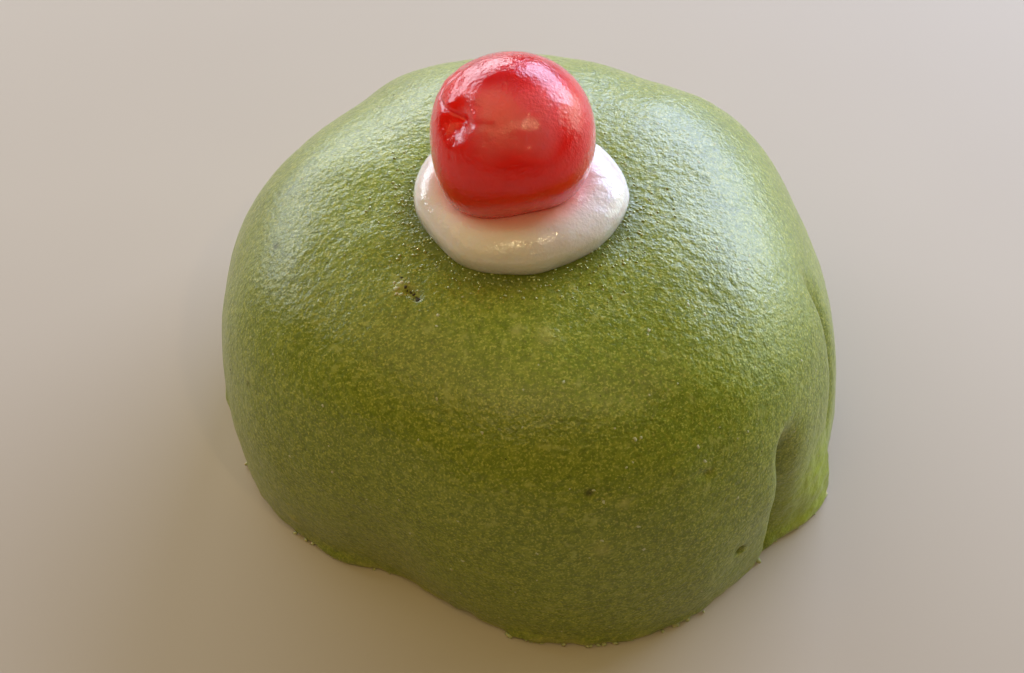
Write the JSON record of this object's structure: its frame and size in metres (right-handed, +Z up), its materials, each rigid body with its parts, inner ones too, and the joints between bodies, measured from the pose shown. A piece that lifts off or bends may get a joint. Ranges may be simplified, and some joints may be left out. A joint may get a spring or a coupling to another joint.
{
  "type": "marzipan dome cake with glace cherry",
  "caption": "Single-portion dome-shaped cake under a smooth green marzipan sheet pleated at one side, with a dab of icing and a glace cherry on its crown.",
  "frame": {"origin": "on the flat underside, below the middle of the whole outline seen from above", "axes": "+Z up through the cherry; -Y towards the side the picture was taken from; +X towards the pleated side"},
  "size_m": [0.0808, 0.0794, 0.0592],
  "materials": {
    "marzipan": "moist and fine-grained",
    "icing": "smooth and glossy",
    "cherry": "clear syrupy gloss"
  },
  "bodies": {
    "root": {"cake": "marzipan", "icing": "icing", "cherry": "cherry"}
  },
  "joints": []
}
